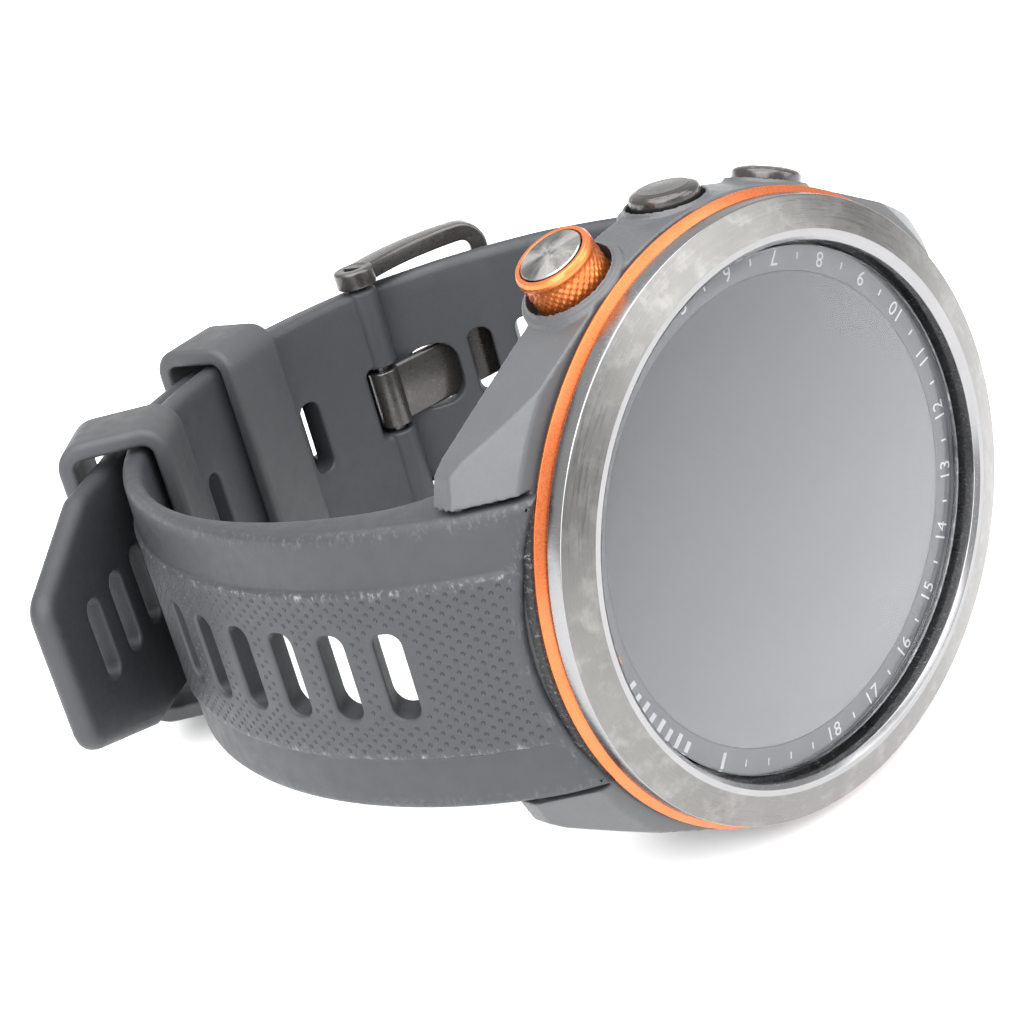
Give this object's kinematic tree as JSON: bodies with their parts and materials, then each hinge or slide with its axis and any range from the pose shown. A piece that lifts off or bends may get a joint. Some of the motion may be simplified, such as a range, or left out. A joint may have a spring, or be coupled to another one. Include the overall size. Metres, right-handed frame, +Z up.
{
  "type": "golf gps watch",
  "caption": "Round golf watch on its side: brushed steel bezel, orange ring and crown-like button, glass face with hole numbers, slotted elastomer strap closed in a loop by a pin buckle.",
  "frame": {"origin": "centre of the resting watch's footprint box, on the surface it lies on", "axes": "+Z up, the way the three buttons point; +X towards the 6 o'clock end of the case; -Y the way the face looks, leaning 10.85 degrees up"},
  "size_m": [0.0752, 0.0712, 0.0483],
  "materials": {
    "case_polymer": "satin moulded, light wear",
    "back_polymer": "satin moulded",
    "bezel_steel": "brushed cone with polished edges",
    "ring_orange": "anodised orange, satin",
    "crown_orange": "anodised orange, diamond knurl",
    "cap_gunmetal": "glossy dark coating",
    "insert_black": "sunray, dark",
    "lens_glass": "clear, polished",
    "dial_black": "printed dial under glass",
    "sensor_glass": "polished dark window",
    "strap_silicone": "satin moulded elastomer, dusty wear",
    "keeper_silicone": "satin moulded elastomer",
    "buckle_gunmetal": "dark satin coating",
    "pin_steel": "turned steel",
    "small_steel": "plain steel",
    "contact_gold": "gold plated",
    "seal_rubber": "soft rubber",
    "switch_black": "plain moulded",
    "antenna_copper": "copper",
    "board_green": "solder mask",
    "battery_grey": "foil pouch"
  },
  "bodies": {
    "watch": {"case_body": "case_polymer", "accent_ring": "ring_orange", "bezel": "bezel_steel", "lens": "lens_glass", "number_ring": "dial_black", "lens_gasket": "seal_rubber", "display_panel": "dial_black", "display_flex": "antenna_copper", "start_seal": "seal_rubber", "start_switch": "switch_black", "menu_seal": "seal_rubber", "menu_switch": "switch_black", "back_seal": "seal_rubber", "back_switch": "switch_black", "gps_antenna_ring": "antenna_copper", "inner_frame": "switch_black", "gps_shield": "small_steel", "main_board": "board_green", "battery": "battery_grey", "vibration_motor": "small_steel", "case_back": "back_polymer", "back_gasket": "seal_rubber", "sensor_window": "sensor_glass", "sensor_board": "board_green", "charge_port": "back_polymer", "charge_contact_1": "contact_gold", "charge_contact_2": "contact_gold", "charge_contact_3": "contact_gold", "charge_contact_4": "contact_gold", "back_screw_1": "small_steel", "back_screw_2": "small_steel", "back_screw_3": "small_steel", "back_screw_4": "small_steel", "buckle_strap": "strap_silicone", "long_strap": "strap_silicone", "lug_pin_12": "pin_steel", "lug_pin_6": "pin_steel", "buckle_pin": "pin_steel"},
    "start_button": {"start_knurled_cap": "crown_orange", "start_insert": "insert_black", "start_stem": "small_steel", "start_clip": "small_steel"},
    "menu_button": {"menu_cap": "cap_gunmetal", "menu_clip": "small_steel"},
    "back_button": {"back_cap": "cap_gunmetal", "back_clip": "small_steel"},
    "buckle": {"buckle_frame": "buckle_gunmetal"},
    "tongue": {"buckle_tongue": "buckle_gunmetal"},
    "free_keeper_1": {"keeper_1": "keeper_silicone"},
    "free_keeper_2": {"keeper_2": "keeper_silicone"},
    "release_12": {"latch_12": "pin_steel"},
    "release_6": {"latch_6": "pin_steel"}
  },
  "joints": [
    {"name": "start_press", "type": "slide", "parent": "watch", "child": "start_button", "axis": [0.4226, -0.1706, -0.8901], "range_m": [0, 0.0005], "stiffness_N_per_m": 300, "springref_m": -0.0015},
    {"name": "menu_press", "type": "slide", "parent": "watch", "child": "menu_button", "axis": [0, -0.1882, -0.9821], "range_m": [0, 0.0005], "stiffness_N_per_m": 300, "springref_m": -0.0015},
    {"name": "back_press", "type": "slide", "parent": "watch", "child": "back_button", "axis": [-0.4226, -0.1706, -0.8901], "range_m": [0, 0.0005], "stiffness_N_per_m": 300, "springref_m": -0.0015},
    {"name": "buckle_pivot", "type": "hinge", "parent": "watch", "child": "buckle", "pos_m": [0.01252, 0.02822, 0.0133], "axis": [0, 0.1882, 0.9821], "range_deg": [-4, 0.5]},
    {"name": "tongue_pivot", "type": "hinge", "parent": "watch", "child": "tongue", "pos_m": [0.01252, 0.02822, 0.0133], "axis": [0, 0.1882, 0.9821], "range_deg": [0, 6]},
    {"name": "keeper_1_slide", "type": "hinge", "parent": "watch", "child": "free_keeper_1", "pos_m": [0.00697, -0.00702, 0.02005], "axis": [0, 0.1882, 0.9821], "range_deg": [-6, 1.5]},
    {"name": "keeper_2_slide", "type": "hinge", "parent": "watch", "child": "free_keeper_2", "pos_m": [0.00697, -0.00702, 0.02005], "axis": [0, 0.1882, 0.9821], "range_deg": [-6, 6]},
    {"name": "release_12_slide", "type": "slide", "parent": "watch", "child": "release_12", "axis": [-0.5129, 0.8431, -0.1616], "range_m": [0, 0.0013], "stiffness_N_per_m": 200, "springref_m": -0.001},
    {"name": "release_6_slide", "type": "slide", "parent": "watch", "child": "release_6", "axis": [0.7058, 0.6958, -0.1334], "range_m": [0, 0.0013], "stiffness_N_per_m": 200, "springref_m": -0.001}
  ]
}
